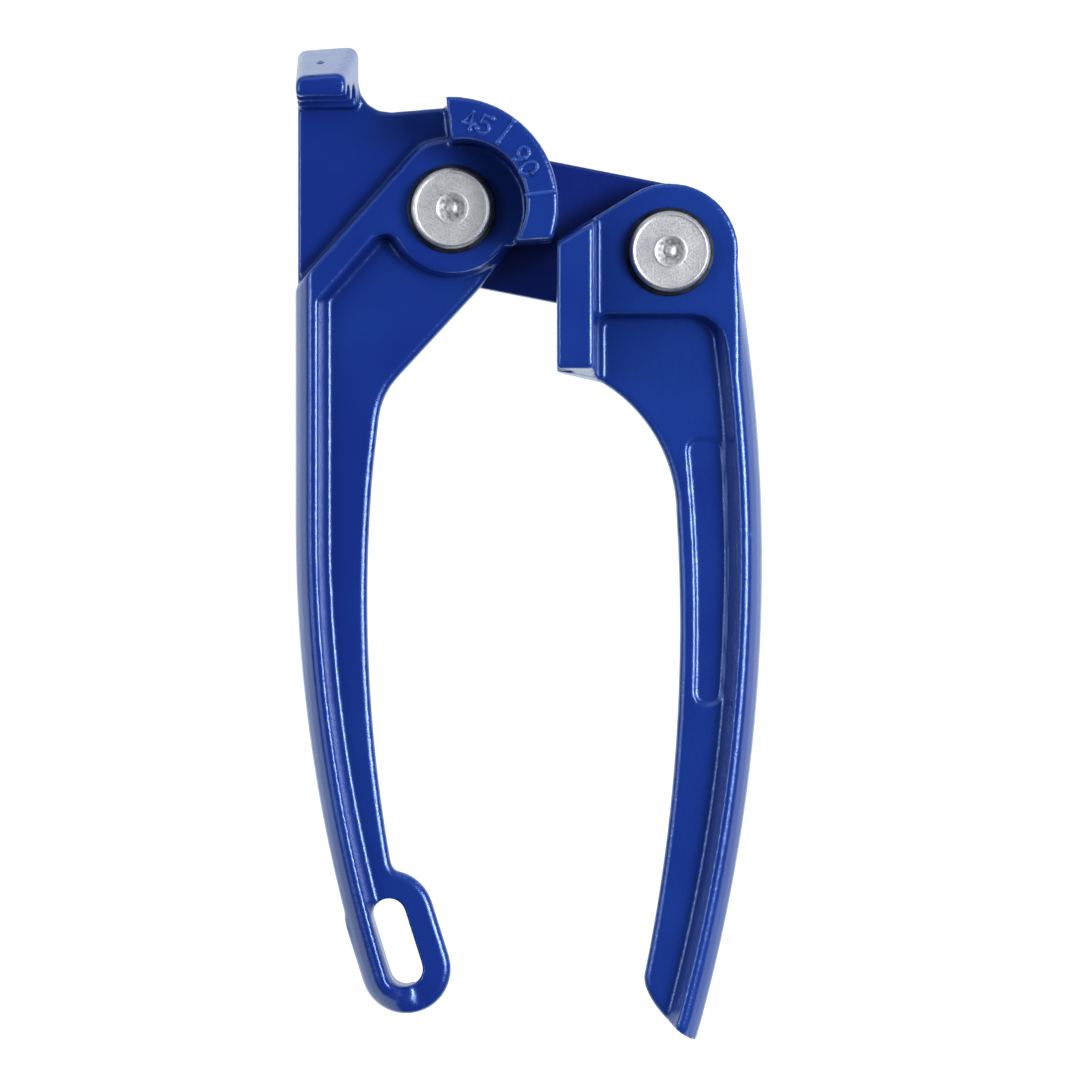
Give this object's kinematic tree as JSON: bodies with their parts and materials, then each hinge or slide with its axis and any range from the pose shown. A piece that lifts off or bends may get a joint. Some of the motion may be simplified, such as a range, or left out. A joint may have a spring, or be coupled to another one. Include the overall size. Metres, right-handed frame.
{
  "type": "tube bender",
  "caption": "Pliers-type hand bender for small metal tube: two cast grips, a grooved quarter-round former with a hook, and a grooved shoe on a lever joined by a link.",
  "frame": {"origin": "on the axis of the former's pin, at the flat end of its tail, which lies in the tool's back plane", "axes": "+Z along both pins towards the front that carries the grooves, +Y away from the grips, +X from the fixed grip to the lever grip"},
  "size_m": [0.0915, 0.1942, 0.0299],
  "materials": {
    "blue_enamel": "gloss",
    "link_enamel": "gloss",
    "zinc_steel": "satin",
    "dark_steel": "satin"
  },
  "bodies": {
    "fixed": {"fixed_handle": "blue_enamel", "former_pin": "zinc_steel", "former_front_washer": "dark_steel", "former_back_washer": "zinc_steel", "former_retaining_ring": "dark_steel"},
    "link": {"link_plate": "link_enamel", "lever_pin": "zinc_steel", "lever_front_washer": "dark_steel", "lever_back_washer": "zinc_steel", "lever_retaining_ring": "dark_steel"},
    "lever": {"lever_handle": "blue_enamel"}
  },
  "joints": [
    {"name": "link_swing", "type": "hinge", "parent": "fixed", "child": "link", "pos_m": [0, 0, 0], "axis": [0, 0, 1], "range_deg": [0, 100]},
    {"name": "lever_swing", "type": "hinge", "parent": "link", "child": "lever", "pos_m": [0.04239, -0.00832, 0], "axis": [0, 0, 1], "range_deg": [-14, 110]}
  ]
}
